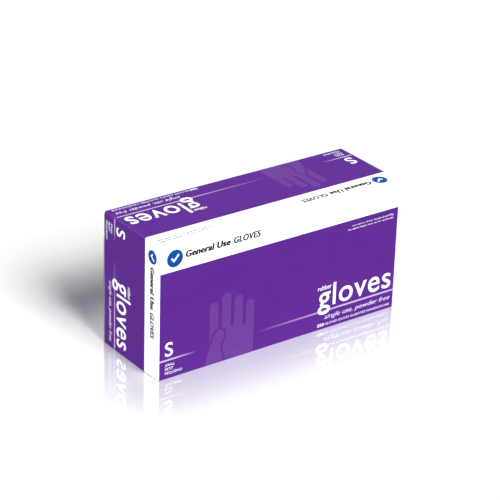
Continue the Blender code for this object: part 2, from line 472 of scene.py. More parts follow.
def sleeve_profile():
    """From the back panel's lower edge up, over the top, down the front and in to the seam flap."""
    profile = Profile()
    wide = END - SKIN
    back = [
        ((FACE_BACK, 0.0), wide), ((FACE_BACK, HEIGHT - BACK_BAND), wide),
        ((FACE_BACK, CORNER_TOP - 3 * NOTCH), wide), ((FACE_BACK, CORNER_TOP - SUPPORT), EDGE_HALF),
    ]
    flat_rows(profile, back, (-1, 0), [ON_PURPLE, ON_WHITE, ON_WHITE, ON_WHITE])
    both = (-EDGE_HALF, -EDGE_HALF), (EDGE_HALF, EDGE_HALF)
    profile.bend((CORNER_BACK, CORNER_TOP), 0, pi / 2, *both, ON_PURPLE, ON_WHITE)
    panel_across(profile, FACE_TOP, (0, -1), TOP_BAND)
    profile.bend((CORNER_FRONT, CORNER_TOP), pi / 2, pi, *both, ON_WHITE)
    front = [
        ((FACE_FRONT, CORNER_TOP - SUPPORT), EDGE_HALF), ((FACE_FRONT, HEIGHT - FRONT_BAND), EDGE_HALF),
        ((FACE_FRONT, CORNER_BOTTOM + SUPPORT), EDGE_HALF),
    ]
    flat_rows(profile, front, (1, 0), [ON_WHITE, ON_PURPLE, ON_PURPLE])
    profile.bend((CORNER_FRONT, CORNER_BOTTOM), pi, 1.5 * pi, *both, ON_PURPLE)
    panel_across(profile, FACE_BOTTOM, (0, 1))
    profile.rows.pop()  # the bottom panel stops short, where the seam flap turns up
    seam_corner = SEAM_HIGH.y - BEND
    seam_half = SEAM_HIGH.x
    flat_rows(profile, [((seam_corner - SUPPORT, FACE_BOTTOM), EDGE_HALF)], (0, 1), [ON_PURPLE])
    narrow = (-seam_half, -seam_half), (seam_half, seam_half)
    profile.bend((seam_corner, CORNER_BOTTOM), 1.5 * pi, 2 * pi, *narrow, ON_WHITE)
    slope = (SEAM_HIGH.z - CORNER_BOTTOM) * tan(SEAM_SLOPE)
    seam = [
        ((SEAM_HIGH.y, CORNER_BOTTOM + SUPPORT), seam_half - SUPPORT * tan(SEAM_SLOPE)),
        ((SEAM_HIGH.y, SEAM_HIGH.z), seam_half - slope),
    ]
    flat_rows(profile, seam, (-1, 0), [ON_WHITE, ON_WHITE])
    return profile


def resample(outline, step):
    """A closed outline as points about one step apart, in a number that the nicks divide evenly."""
    loop = [Vector(p) for p in outline] + [Vector(outline[0])]
    lengths = [(b - a).length for a, b in zip(loop, loop[1:])]
    total = sum(lengths)
    count = NICK_EVERY * round(total / step / NICK_EVERY)
    points = []
    i, passed = 0, 0.0
    for k in range(count):
        target = total * k / count
        while passed + lengths[i] < target:
            passed += lengths[i]
            i += 1
        share = (target - passed) / lengths[i]
        points.append(loop[i].lerp(loop[i + 1], share))
    return points


def inward_normals(points):
    """Unit normals of a closed anticlockwise outline, towards its inside."""
    normals = []
    for i in range(len(points)):
        way = points[(i + 1) % len(points)] - points[i - 1]
        normals.append(Vector((-way.y, way.x)).normalized())
    return normals


WINDOW_HALF = FLAP_HIGH.x + GAP
WINDOW_TOP = FLAP_HIGH.z + GAP
WINDOW_BOTTOM = FLAP_LOW.z - GAP
WINDOW_CUT = resample(rounded([
    (-WINDOW_HALF, WINDOW_BOTTOM, WINDOW_LOWER_RADIUS),
    (WINDOW_HALF, WINDOW_BOTTOM, WINDOW_LOWER_RADIUS),
    (WINDOW_HALF, WINDOW_TOP, WINDOW_UPPER_RADIUS),
    (-WINDOW_HALF, WINDOW_TOP, WINDOW_UPPER_RADIUS),
]), PERFORATION_STEP)
WINDOW_NORMALS = inward_normals(WINDOW_CUT)
HINGE_HALF = WINDOW_HALF - WINDOW_UPPER_RADIUS - GAP


def on_upper_fold(point):
    """Where the window flap folds, and isn't cut."""
    return point.y > WINDOW_TOP - GAP and abs(point.x) < HINGE_HALF


def on_lower_fold(point, half):
    """Where the thumb tab folds, and a little beside it."""
    return point.y < WINDOW_BOTTOM + GAP and abs(point.x) < half


def nick_at(i):
    return i % NICK_EVERY in (0, 1)


def plate_points(outline, outer, inner):
    """A flat plate facing +Y, from an outline of (x, z) points."""
    points = [(p[0], outer, p[1]) for p in outline] + [(p[0], inner, p[1]) for p in outline]
    return points, prism_faces(len(outline))


def cut_window(sleeve):
    outline = []
    for i, (point, normal) in enumerate(zip(WINDOW_CUT, WINDOW_NORMALS)):
        folds = on_upper_fold(point) or on_lower_fold(point, THUMB_RADIUS)
        outline.append(point + normal * (NICK if nick_at(i) and not folds else 0.0))
    points, faces = plate_points(outline, BACK + BOARD, BACK - 3 * BOARD)
    finish_of = [ON_EDGE] * len(faces)
    cutter = new_object("window_cutter", points, faces, BOARD_FINISHES, finish_of)
    sleeve.modifiers.new("window", "BOOLEAN").object = cutter
    mesh = evaluated_mesh(sleeve)
    sleeve.modifiers.clear()
    sleeve.data = mesh
    bpy.data.objects.remove(cutter)
    settle(sleeve)


def make_sleeve():
    def place(point, along):
        return Vector((along, point[0], point[1]))
    sleeve = sleeve_profile().build("sleeve_board", place)
    cut_window(sleeve)
    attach(sleeve, "carton")
    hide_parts("front_panel", "back_panel", "top_panel", "bottom_panel", "seam_flap")


# ---- closures and flaps

SIDES = (("left", -1), ("right", 1))
CLOSURE_FACE = END - SKIN
TUCK_CORNER_Y = CLOSURE_HIGH.y - SKIN - BEND  # the centre of the tuck lip's fold


def fold_piece(piece, node, start, end):
    """Bakes a piece's placing into its mesh, and hides the CAD part that it stands for."""
    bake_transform(piece)
    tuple(start)
    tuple(end)
    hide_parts(node)


def upright(point, along):
    """For a profile that is seen from above."""
    return Vector((point[0], point[1], along))


def make_closure(side, sign):
    """The closure panel and the fold that joins it to the front panel."""
    low, high = CLOSURE_LOW.z, CLOSURE_HIGH.z
    profile = Profile()
    corner = (-EDGE_HALF, CORNER_FRONT)
    profile.bend(corner, 1.5 * pi, pi, (CORNER_BOTTOM, low), (CORNER_TOP, high), ON_WHITE)
    stops = (
        (CORNER_FRONT + SUPPORT, ON_WHITE), (FRONT + END_BAND, ON_PURPLE),
        (TUCK_CORNER_Y - SUPPORT, ON_PURPLE), (TUCK_CORNER_Y, ON_PURPLE),
    )
    for y, finish in stops:
        profile.row((-CLOSURE_FACE, y), (-CLOSURE_FACE + THICK, y), low, high, finish)
    place = mirrored(upright, sign)
    closure = profile.build(f"{side}_closure", place)
    start = place((-EDGE_HALF, FACE_FRONT), HEIGHT / 2)
    end = place((-CLOSURE_FACE, CORNER_FRONT), HEIGHT / 2)
    fold_piece(closure, f"{side}_end_panel", start, end)


def make_tuck(side, sign):
    """The tuck lip and the fold that joins it to its closure panel."""
    low, high = LIP_LOW.z, LIP_HIGH.z
    profile = Profile()
    corner = (-EDGE_HALF, TUCK_CORNER_Y)
    turned = pi / 2 - TUCK_LEAN
    profile.bend(corner, pi, turned, (low, low), (high, high), ON_PURPLE)
    way = Vector((cos(TUCK_LEAN), -sin(TUCK_LEAN)))
    across = Vector((cos(turned), sin(turned)))
    first = Vector(corner) + across * BEND
    length = (LIP_HIGH.x - first.x) / way.x
    steps = [SUPPORT, length - TUCK_CORNER]
    steps += [length - TUCK_CORNER * (1 - sin(radians(a))) for a in range(10, 91, 10)]
    for along in steps:
        into = max(0.0, along - (length - TUCK_CORNER))
        drop = TUCK_CORNER - sqrt(max(0.0, TUCK_CORNER ** 2 - into ** 2))
        outer = first + way * along
        profile.row(tuple(outer), tuple(outer - across * THICK), low + drop, high - drop, ON_PURPLE)
    place = mirrored(upright, sign)
    tuck = profile.build(f"{side}_tuck", place)
    start = place((-CLOSURE_FACE, TUCK_CORNER_Y), HEIGHT / 2)
    end = place(tuple(first), HEIGHT / 2)
    lip = f"{side}_tuck_lip"
    fold_piece(tuck, lip, start, end)


def make_dust_flap(side, sign, level):
    """A dust flap and the fold that joins it to the top or bottom panel."""
    length = HEIGHT - DUST_LOW.z
    begun = HEIGHT - DUST_HIGH.z
    outline = rounded([
        (DUST_FRONT, begun, 0), (DUST_BACK, begun, 0), (DUST_BACK, length, DUST_CORNER),
        (DUST_FRONT + length * tan(DUST_TAPER), length, DUST_CORNER),
    ])
    profile = Profile()
    corner = (-DUST_FOLD, CORNER_TOP)
    front, back = (DUST_FRONT + NOTCH, DUST_FRONT), (DUST_BACK - NOTCH, DUST_BACK)
    profile.bend(corner, pi / 2, pi, front, back, ON_PURPLE)
    face = -DUST_FOLD - BEND
    depths = {round(v, 7) for _, v in outline if v > begun} | {begun + SUPPORT, DUST_BLEED}
    for depth in sorted(depths):
        low, high = span_at(outline, depth)
        finish = ON_PURPLE if depth < DUST_BLEED else ON_WHITE
        profile.row((face, HEIGHT - depth), (face + THICK, HEIGHT - depth), low, high, finish)

    def standing(point, along):
        height = point[1] if level == "upper" else HEIGHT - point[1]
        return Vector((point[0], along, height))
    place = mirrored(standing, sign)
    name = f"{side}_{level}_dust_flap"
    flap = profile.build(f"{name}_board", place)
    if level == "upper":
        whiten_in_front(flap, FRONT + TOP_BAND)
    start = place((-DUST_FOLD, FACE_TOP), 0)
    end = place((face, CORNER_TOP), 0)
    fold_piece(flap, name, start, end)


def whiten_in_front(obj, y):
    """Cuts the ink off in front of a line along the carton, where the artwork is white."""
    cut_across(obj, [(0, y, 0)], (0, 1, 0))
    for face in obj.data.polygons:
        if face.material_index in (ON_PURPLE, ON_EDGE) and face.center.y < y:
            face.material_index = ON_WHITE


def make_plate(name, outline, fold_at, way):
    """A plate of back panel board, cut across by rows of points up (1) or down (-1) from its fold."""
    points, faces = plate_points(outline, FACE_BACK, BACK - BOARD)
    finish_of = [ON_PURPLE, ON_INSIDE] + [ON_EDGE] * (len(faces) - 2)
    floats = {"crease": [0.0] * len(points)}
    plate = new_object(f"{name}_board", points, faces, BOARD_FINISHES, finish_of, floats)
    rows = [fold_at + way * HINGE_SIZE * (i + 1) / HINGE_ROWS for i in range(HINGE_ROWS)]
    cut_across(plate, [(0, 0, height) for height in rows], (0, 0, 1))
    start = (0, BACK, fold_at)
    end = (0, BACK, fold_at + way * HINGE_SIZE)
    fold_piece(plate, name, start, end)


def make_window_flap():
    """The flap that tears open, with a round bite in its lower edge for the thumb tab."""
    outline = []
    bite = THUMB_RADIUS + GAP
    bitten = False
    for i, (point, normal) in enumerate(zip(WINDOW_CUT, WINDOW_NORMALS)):
        if on_lower_fold(point, bite + GAP):
            if not bitten:
                start = pi - asin(GAP / bite)
                notch = arc((0, WINDOW_BOTTOM), bite, start, pi - start, FINE_ARC_STEP)
                outline += [Vector(p) for p in notch]
                bitten = True
            continue
        reach = GAP - NICK if nick_at(i) else GAP
        if on_upper_fold(point):
            reach = 0.0
        outline.append(point + normal * reach)
    make_plate("window_flap", outline, WINDOW_TOP, -1)


def make_thumb_tab():
    outline = arc((0, WINDOW_BOTTOM), THUMB_RADIUS, 0, pi, FINE_ARC_STEP)
    make_plate("thumb_tab", outline, WINDOW_BOTTOM, 1)


# ---- print

# Type styles: added weight, slant, points along a curve, and letter spacing.
HEADING_TYPE = (0.026, 0.10, 3, 1.06)
HEADING_CAPS_TYPE = (0.018, 0.14, 3, 1.06)
WORD_TYPE = (0.006, 0.0, 8, 1.06)
SMALL_WORD_TYPE = (0.004, 0.0, 4, 1.04)
LINE_TYPE = (-0.014, 0.30, 3, 1.0)
COUNT_TYPE = (0.016, 0.0, 2, 1.0)
COUNTED_TYPE = (-0.010, 0.10, 2, 1.0)
SIZE_TYPE = (0.010, 0.0, 6, 1.0)
SIZE_WORD_TYPE = (-0.006, 0.0, 2, 1.0)
NOTE_TYPE = (0.0, 0.0, 1, 1.0)
GREY_NOTE_TYPE = (0.055, 0.0, 1, 1.0)
BOTTOM_SIZE_TYPE = (0.018, 0.0, 6, 1.0)
BOTTOM_WORD_TYPE = (0.026, 0.0, 6, 1.0)

LETTER_DEPTH = 0.01  # half a letter's thickness as it is made, in its own units
LETTER_WELD = 1e-5
LETTERS = {}  # the lines that have been made, so that each is made once


def letters(words, style):
    """A line of text as a closed mesh on its baseline: (along, up, out) points, and faces."""
    if (words, style) not in LETTERS:
        curve = bpy.data.curves.new("letters", "FONT")
        curve.body = words
        curve.extrude = LETTER_DEPTH
        curve.offset, curve.shear, curve.resolution_u, curve.space_character = style
        obj = add_object("letters", curve)
        work = bmesh.new()
        work.from_mesh(evaluated_mesh(obj))
        bpy.data.objects.remove(obj)
        bmesh.ops.remove_doubles(work, verts=work.verts, dist=LETTER_WELD)
        work.verts.index_update()
        points = [tuple(v.co) for v in work.verts]
        faces = [tuple(v.index for v in f.verts) for f in work.faces]
        work.free()
        LETTERS[words, style] = (points, faces)
    return LETTERS[words, style]


FADE_STEPS = 24
FADE_RATE = 1.6  # above 1, so that a fading line is at full strength for a while


class Print:
    """The ink on one face, laid out in millimetres from its artwork's top left corner."""

    def __init__(self, name, corner, across, down):
        self.name = name
        self.corner, self.across, self.down = Vector(corner), Vector(across), Vector(down)
        self.out = self.down.cross(self.across)
        self.points, self.faces, self.inks, self.fades = [], [], [], []

    def place(self, u, v, height):
        return self.corner + (self.across * u + self.down * v) * MM + self.out * height

    def add(self, points, faces, ink, level, fades=None):
        """Points are (u, v, is it the top). Level 2 is the ink that lies over the others."""
        first = len(self.points)
        top = -LAYER * (2 - level)
        base = -INK - SUNK
        self.points += [self.place(u, v, top if upper else base) for u, v, upper in points]
        self.faces += [tuple(first + i for i in face) for face in faces]
        self.inks += [ink] * len(faces)
        self.fades += fades or [1.0] * len(points)

    def slab(self, outline, ink, level=0):
        points = [(u, v, True) for u, v in outline] + [(u, v, False) for u, v in outline]
        self.add(points, prism_faces(len(outline)), ink, level)

    def bar(self, left, top, right, bottom, ink, level=0):
        self.slab([(left, top), (right, top), (right, bottom), (left, bottom)], ink, level)

    def ring(self, outline, width, ink):
        """A closed line along an outline, on its inner side."""
        points = []
        for point, normal in zip(outline, inward_normals(outline)):
            inner = point + normal * width
            for place, upper in ((point, True), (inner, True), (inner, False), (point, False)):
                points.append((place.x, place.y, upper))
        self.add(points, swept_faces(len(outline), True), ink, 0)

    def fading_line(self, start, end, v, thickness):
        """A line at full strength over the first part of its way, which has gone at its end."""
        points = []
        fades = []
        for i in range(FADE_STEPS + 1):
            share = i / FADE_STEPS
            for side, upper in ((-0.5, True), (0.5, True), (0.5, False), (-0.5, False)):
                points.append((start + (end - start) * share, v + side * thickness, upper))
                fades.append(min(1, FADE_RATE * (1 - share)))
        self.add(points, swept_faces(FADE_STEPS + 1), FADING, 0, fades)

    def text(self, words, left, right, top, baseline, ink, style, level=2):
        """Words stretched to fit left to right, and from the tallest letter's top to the baseline."""
        points, faces = letters(words, style)
        low = min(p[0] for p in points)
        wide = (right - left) / (max(p[0] for p in points) - low)
        tall = (baseline - top) / max(p[1] for p in points)
        placed = [(left + (p[0] - low) * wide, baseline - p[1] * tall, p[2] > 0) for p in points]
        self.add(placed, faces, ink, level)

    def small_print(self, left, right, top, height, ink, chance):
        """A line too small to read: a bar for each word."""
        u = left
        while u < right - height:
            length = min(height * chance.uniform(1.2, 4.2), right - u)
            self.bar(u, top + height * 0.2, u + length, top + height, ink)
            stems = max(1, round(length / height / 1.3))
            for _ in range(stems):
                at = u + length * chance.uniform(0.05, 0.9)
                self.bar(at, top, at + height * 0.22, top + height * 0.3, ink, 1)
            u += length + height * 0.7

    def finish(self, body):
        floats = {"fade": self.fades, "crease": [0.0] * len(self.points)}
        obj = new_object(self.name, self.points, self.faces, INKS, self.inks, floats)
        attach(obj, body)


FINGERS = (  # left, right and tip of each finger, and the gap's depth on its right
    (43.0, 51.4, 62.0, 87.5), (54.8, 63.6, 56.3, 88.0),
    (67.0, 75.4, 61.7, 90.0), (78.6, 86.7, 68.7, None),
)
THUMB = (  # its outline, from the wrist round the tip and back
    (39.0, 117.0), (40.6, 110.0), (43.3, 102.5), (46.0, 95.5), (47.8, 90.8), (50.2, 88.6), (53.2, 88.0),
    (56.0, 89.2), (57.5, 92.0), (57.2, 95.5), (55.4, 99.2), (54.0, 102.2), (53.8, 105.4), (55.0, 109.5),
    (56.2, 113.5), (56.6, 117.0),
)
HAND_BOTTOM = 117.0
HAND_LEFT = 43.0
THUMB_LINE = 2.0  # how wide the line round the thumb is


def hand_icon(ink, scale, shift):
    """An open hand with the thumb in front, rising from the lower edge."""
    def fit(points):
        base = HAND_LEFT, HAND_BOTTOM
        return [tuple((p[k] - base[k]) * scale + shift[k] for k in (0, 1)) for p in points]

    outline = [(HAND_LEFT, HAND_BOTTOM)]
    for i, (left, right, tip, gap) in enumerate(FINGERS):
        radius = (right - left) / 2
        outline += arc((left + radius, tip + radius), radius, pi, 2 * pi, radians(12))
        if gap:
            radius = (FINGERS[i + 1][0] - right) / 2
            outline += arc((right + radius, gap - radius), radius, pi, 0, radians(30))
    outline.append((FINGERS[-1][1], HAND_BOTTOM))
    ink.slab(fit(outline), HAND, 0)
    edge = [Vector(p) for p in THUMB]
    grown = []
    for i, point in enumerate(edge):
        before, after = edge[max(0, i - 1)], edge[min(len(edge) - 1, i + 1)]
        way = (after - before).normalized()
        grown.append(tuple(point + Vector((way.y, -way.x)) * THUMB_LINE))
    grown[0] = (grown[0][0], HAND_BOTTOM)
    grown[-1] = (grown[-1][0], HAND_BOTTOM)
    ink.slab(fit(grown), OUTLINE, 1)
    ink.slab(fit(THUMB), HAND, 2)


TICK = ((-0.50, 0.02), (-0.34, -0.14), (-0.12, 0.12), (0.40, -0.46), (0.56, -0.30), (-0.12, 0.44))


def mark(ink, centre, radius):
    """A plain blue disc with a tick."""
    ink.slab(arc(centre, radius, 0, 2 * pi, radians(7))[:-1], BLUE, 0)
    ink.slab([(centre[0] + u * radius, centre[1] + v * radius) for u, v in TICK], WHITE, 1)


STRIKE = 0.55  # how far apart the two prints of a heading's words are, in millimetres
CAPS_STRIKE = 0.75 * STRIKE
FIRST_PART = 0.59  # share of a heading's width where its first words end
SECOND_PART = 0.64  # and where its last word starts


def heading(ink, left, right, top, baseline):
    """The dark line in the white band, printed twice so that its upright strokes are heavy."""
    wide = right - left
    parts = (
        ("General Use", left, left + wide * FIRST_PART, STRIKE, HEADING_TYPE),
        ("GLOVES", left + wide * SECOND_PART, right, CAPS_STRIKE, HEADING_CAPS_TYPE),
    )
    for words, start, end, strike, style in parts:
        for level, shift in ((1, 0.0), (2, strike)):
            ink.text(words, start + shift, end + shift, top, baseline, DARK, style, level)


def size_block(ink, line, base):
    """The size letter over the line, with the size in words below it."""
    ink.text("S", 6.4, 13.8, base - 12.2, base, WHITE, SIZE_TYPE)
    for i, (word, right) in enumerate((("SMALL", 15.8), ("PETIT", 14.4), ("PEQUENO", 23.0))):
        top = line + 3.4 + 3.6 * i
        ink.text(word, 6.6, right, top, top + 2.2, WHITE, SIZE_WORD_TYPE)


def line_block(ink, wide, edge, left, right, line, thickness):
    """The pale line, drawn in from both side edges to left and right."""
    ink.fading_line(edge, left, line, thickness)
    ink.fading_line(wide - edge, right, line, thickness)


def word_block(ink, left, right, top, base, line, small, counted=True):
    """The large word over the line, with a small one above it, and a line of text or two below."""
    ink.text("gloves", left, right, top, base, WHITE, WORD_TYPE)
    small_right = left + (right - left) * 0.175
    ink.text("rubber", left - 0.6, small_right, top, top + (base - top) * 0.20, WHITE, SMALL_WORD_TYPE)
    ink.text("single use, powder free", small[0], right, line + 3.9, line + 8.0, WHITE, LINE_TYPE)
    if not counted:
        return
    count = small[1] + (right - small[1]) * 0.09
    ink.text("250", small[1], count, line + 11.3, line + 13.9, WHITE, COUNT_TYPE)
    words = "GLOVES GANTS GUANTES HANDSCHUHE"
    ink.text(words, count + 1, right, line + 11.7, line + 13.7, WHITE, COUNTED_TYPE)


def notes(ink, right, lefts, tops, colour, style):
    """Two lines of fine print."""
    lines = ("one carton of two hundred and fifty", "for either hand, sizes on the underside")
    for words, left, top in zip(lines, lefts, tops):
        ink.text(words, left, right, top, top + 1.5, colour, style)


LONG = 2 * END / MM  # the width of the long faces' artwork
SHORT = HEIGHT / MM  # and of the ends'


def print_front():
    front = Print("front_print", (-END, FRONT, HEIGHT), (1, 0, 0), (0, 0, -1))
    mark(front, (14.6, 13.0), 7.5)
    heading(front, 24.5, 96.5, 9.1, 14.6)
    notes(front, 234.5, (190.5, 186.5), (28.6, 31.6), WHITE, NOTE_TYPE)
    hand_icon(front, 1.0, (HAND_LEFT + 6, HAND_BOTTOM))
    size_block(front, 101, 97.5)
    line_block(front, LONG, 0.95, 36, 97, 101, 1.5)
    word_block(front, 158.5, 235.5, 77.0, 97.2, 101, (166, 158.5))
    front.finish("carton")


def print_top():
    top = Print("top_print", (END, FRONT, HEIGHT), (-1, 0, 0), (0, 1, 0))
    mark(top, (14.5, 10), 6.6)
    heading(top, 24, 95, 6.8, 12.3)
    notes(top, 235, (187, 183), (6.8, 10.2), GREY, GREY_NOTE_TYPE)
    hand_icon(top, 0.86, (51, 78.9))
    size_block(top, 63.7, 60.2)
    line_block(top, LONG, 1.95, 33, 92, 63.7, 1.4)
    word_block(top, 167, 235, 40, 59.9, 63.7, (173, 152))
    top.finish("carton")


def print_closure(side, sign):
    start = HEIGHT if side == "left" else 0  # the left end reads downward, and the right one upward
    end = Print(f"{side}_closure_print", (sign * END, FRONT, start), (0, 0, sign), (0, 1, 0))
    mark(end, (12.2, 9.7), 5.9)
    heading(end, 21, 83, 6.9, 12.1)
    size_block(end, 63.8, 60.9)
    line_block(end, SHORT, 0.55, 20, 36, 63.8, 1.4)
    word_block(end, 53.3, 112.5, 40.4, 60.3, 63.8, (58, 53.3), False)
    end.finish(f"{side}_end")


def print_back():
    back = Print("back_print", (END, BACK, HEIGHT), (-1, 0, 0), (0, 0, -1))
    mark(back, (13.2, 13.2), 7.4)
    heading(back, 23.5, 94, 10.2, 15.6)
    notes(back, 234, (190, 186), (9.0, 12.2), GREY, GREY_NOTE_TYPE)
    size_block(back, 101, 97.5)
    line_block(back, LONG, 0.95, 33, 92, 101, 1.5)
    word_block(back, 183, 233.3, 82.5, 97.5, 101, (178, 171))
    round_window = rounded([
        (60.3, 35.3, 5.7), (179.7, 35.3, 5.7), (179.7, 82.7, 19.7), (60.3, 82.7, 19.7),
    ])
    back.ring(resample(round_window, 2.0), 0.5, WHITE)
    for i in range(3):  # arrowheads that point up at the thumb tab
        v = 90.6 - 2.0 * i
        arrow = ((116, v), (120, v - 2.4), (124, v), (124, v + 0.9), (120, v - 1.5), (116, v + 0.9))
        back.slab(arrow, WHITE)
    back.finish("carton")


def print_bottom():
    """A white field with small print and bars, and the size again."""
    bottom = Print("bottom_print", (-END, FRONT, 0), (1, 0, 0), (0, 1, 0))
    bottom.slab(rounded([(14, 14, 2), (104, 14, 2), (104, 66, 2), (14, 66, 2)]), WHITE, 0)
    chance = random.Random(7)
    for i in range(9):
        bottom.small_print(18, 62 if i < 6 else 48, 19 + i * 4.8, 1.7, DARK, chance)
    for i in range(16):
        u = 68 + i * 2.0
        bottom.bar(u, 24, u + (0.5, 1.1)[i % 3 == 1], 48, DARK, 1)
    bottom.text("S", 212, 221, 26, 40, WHITE, BOTTOM_SIZE_TYPE)
    bottom.text("gloves", 150, 204, 22, 40, WHITE, BOTTOM_WORD_TYPE)
    bottom.finish("carton")


# ---- gloves

GLOVE = (  # the outline of a flat glove, as shares of its length from the cuff and of its width
    (0.000, 0.10), (0.000, 0.80), (0.10, 0.80), (0.22, 0.79), (0.33, 0.80), (0.42, 0.86),
    (0.52, 0.95), (0.60, 0.99), (0.655, 1.00), (0.675, 0.95), (0.66, 0.89), (0.60, 0.83),
    (0.545, 0.77), (0.60, 0.775), (0.70, 0.80), (0.80, 0.815), (0.90, 0.82), (0.945, 0.80),
    (0.955, 0.745), (0.93, 0.69), (0.85, 0.665), (0.72, 0.64), (0.655, 0.615), (0.72, 0.60),
    (0.85, 0.61), (0.95, 0.605), (0.99, 0.58), (1.00, 0.53), (0.985, 0.48), (0.95, 0.455),
    (0.85, 0.445), (0.72, 0.44), (0.655, 0.42), (0.72, 0.40), (0.85, 0.39), (0.92, 0.38),
    (0.955, 0.35), (0.965, 0.30), (0.95, 0.255), (0.91, 0.235), (0.82, 0.235), (0.70, 0.245),
    (0.635, 0.235), (0.70, 0.21), (0.78, 0.19), (0.84, 0.165), (0.87, 0.13), (0.875, 0.09),
    (0.86, 0.05), (0.82, 0.03), (0.74, 0.03), (0.62, 0.045), (0.50, 0.02), (0.38, 0.00),
    (0.25, 0.06), (0.12, 0.10),
)
LEAVES = 10  # gloves in a bundle
LEAF_FILL = 0.82  # how much of its share of the bundle a glove takes up
LEAF_SLACK = 2.5 * MM  # how far gloves lie out of line with each other
FILM = 0.16 * MM  # the two films of a loose glove
LOOSE_STEP = 2.2 * MM  # between the points of the loose glove
LAST_LEAVES = 2  # flat gloves under the loose one
LAST_SHARE = 0.18  # how much of the last bundle they fill
LOOSE_BASE = 0.2  # where the loose one starts in it
CREASED = radians(70)  # only sharper creases than this show as edges on it


def softened(outline):
    """The outline with each of its corners cut once."""
    points = []
    for i, point in enumerate(outline):
        following = outline[(i + 1) % len(outline)]
        for share in (0.25, 0.75):
            points.append(tuple(a + (b - a) * share for a, b in zip(point, following)))
    return points


GLOVE_OUTLINE = softened(GLOVE)


def glove_at(low, high, turned, flipped, chance, slack):
    """The glove's outline within a box of (x, z), turned end for end or upside down."""
    shift = chance.uniform(0, slack)
    drop = chance.uniform(0, slack)
    points = []
    for s, t in GLOVE_OUTLINE:
        s = 1 - s if turned else s
        t = 1 - t if flipped else t
        x = low.x + shift + s * (high.x - low.x - slack)
        z = low.z + drop + t * (high.z - low.z - slack)
        points.append((x, z))
    return points


def glove_piece(name, node, points, faces, sharp=SHARP):
    piece = new_object(name, points, faces, (RUBBER,), [0] * len(faces), sharp=sharp)
    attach(piece, "carton")
    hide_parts(node)


def make_glove_stack(name, node, count, depth, chance):
    """Flat gloves one behind another, filling a share, depth, of their bundle's thickness."""
    low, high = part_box(node)
    pitch = (high.y - low.y) * depth / count
    points, faces = [], []
    for i in range(count):
        outline = glove_at(low, high, i % 2 == 1, chance.random() < 0.5, chance, LEAF_SLACK)
        y = low.y + i * pitch
        more, sides = plate_points(outline, y + pitch * LEAF_FILL, y)
        faces += [tuple(len(points) + k for k in face) for face in sides]
        points += more
    glove_piece(name, node, points, faces)


def crumple(x, z):
    """Folds in a loose glove, from 0 to 1. They run along it."""
    spot = Vector((x / (26 * MM), z / (11 * MM), 3.0))
    broad = noise.noise(spot)
    ridge = 1 - abs(noise.noise(spot * 2.3 + Vector((7, 3, 1)))) * 2.2
    fine = noise.noise(spot * 6.1 + Vector((1, 9, 4)))
    return min(1, max(0, 0.5 + 0.8 * broad + 0.5 * (ridge - 0.6) + 0.2 * fine))


def make_loose_glove(name, node, chance):
    """The glove next to the window, wrinkled. It is one sheet, as thick as two films."""
    low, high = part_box(node)
    base = low.y + (high.y - low.y) * LOOSE_BASE
    room = high.y - base
    outline = glove_at(low, high, False, False, chance, 0.0)
    inner = []
    for row in range(1, int((high.z - low.z) / LOOSE_STEP)):
        for column in range(1, int((high.x - low.x) / LOOSE_STEP)):
            x = low.x + column * LOOSE_STEP + (row % 2) * LOOSE_STEP / 2
            inner.append(Vector((x, low.z + row * LOOSE_STEP)))
    ring = [(i, (i + 1) % len(outline)) for i in range(len(outline))]
    vectors = [Vector(p) for p in outline] + inner
    flat, _, triangles, *_ = delaunay_2d_cdt(vectors, ring, [], 1, 1e-6)
    used = sorted({i for face in triangles for i in face})
    number = {old: new for new, old in enumerate(used)}
    edges = {}
    for face in triangles:
        for a, b in zip(face, face[1:] + face[:1]):
            edges.setdefault((min(a, b), max(a, b)), []).append((a, b))
    points = []
    for thickness in (FILM, 0.0):
        for i in used:
            x, z = flat[i]
            lift = crumple(x, z) * (room - FILM)
            points.append((x, base + lift + thickness, z))
    many = len(used)
    faces = [tuple(number[i] for i in face) for face in triangles]
    faces += [tuple(many + number[i] for i in reversed(face)) for face in triangles]
    for pair in edges.values():
        if len(pair) == 1:  # the rim
            a, b = (number[i] for i in pair[0])
            faces.append((a, many + a, many + b, b))
    glove_piece(name, node, points, faces, CREASED)


def make_gloves():
    chance = random.Random(11)
    *full, last = sorted(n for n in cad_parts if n.startswith("glove_bundle_"))
    for node in full:
        make_glove_stack(node.replace("bundle", "stack"), node, LEAVES, 1.0, chance)
    make_glove_stack(last.replace("bundle", "stack"), last, LAST_LEAVES, LAST_SHARE, chance)
    make_loose_glove("glove_by_the_window", last, chance)


# ---- stage, lights and camera

CAMERA_AZIMUTH = radians(-36.68)
CAMERA_ELEVATION = radians(25.78)
CAMERA_ROLL = radians(1.82)
CAMERA_DISTANCE = 1700 * MM
CAMERA_TARGET = Vector((-33.4, -40.0, 93.6)) * MM
CAMERA_SENSOR = 36
CAMERA_LENS = 154.1

FLOOR_HALF = 6.0
FLOOR_DROP = 0.01 * MM
FLOOR_WHITE = 0.97
FLOOR_POLISH = 0.42  # how much of the floor's light is mirrored, next to the carton
FLOOR_FADE = 75 * MM  # and how far away that has gone

WORLD_STRENGTH = 0.21
KEYS = (("low_key", (0.0, -0.81, 0.58)), ("high_key", (0.0, -0.71, 0.70)))
KEY_SPREAD = radians(24)
KEY_STRENGTH = 4.25
FILL_WIDTH = 0.8
FILLS = (  # where each one stands, and its power
    ("left_fill", (-2.2, -0.5, 0.5), 32),
    ("right_fill", (2.2, 0.2, 0.5), 30),
    ("back_fill", (-0.4, 2.2, 0.7), 62),
    ("top_fill", (0.0, 0.3, 2.2), 7),
)


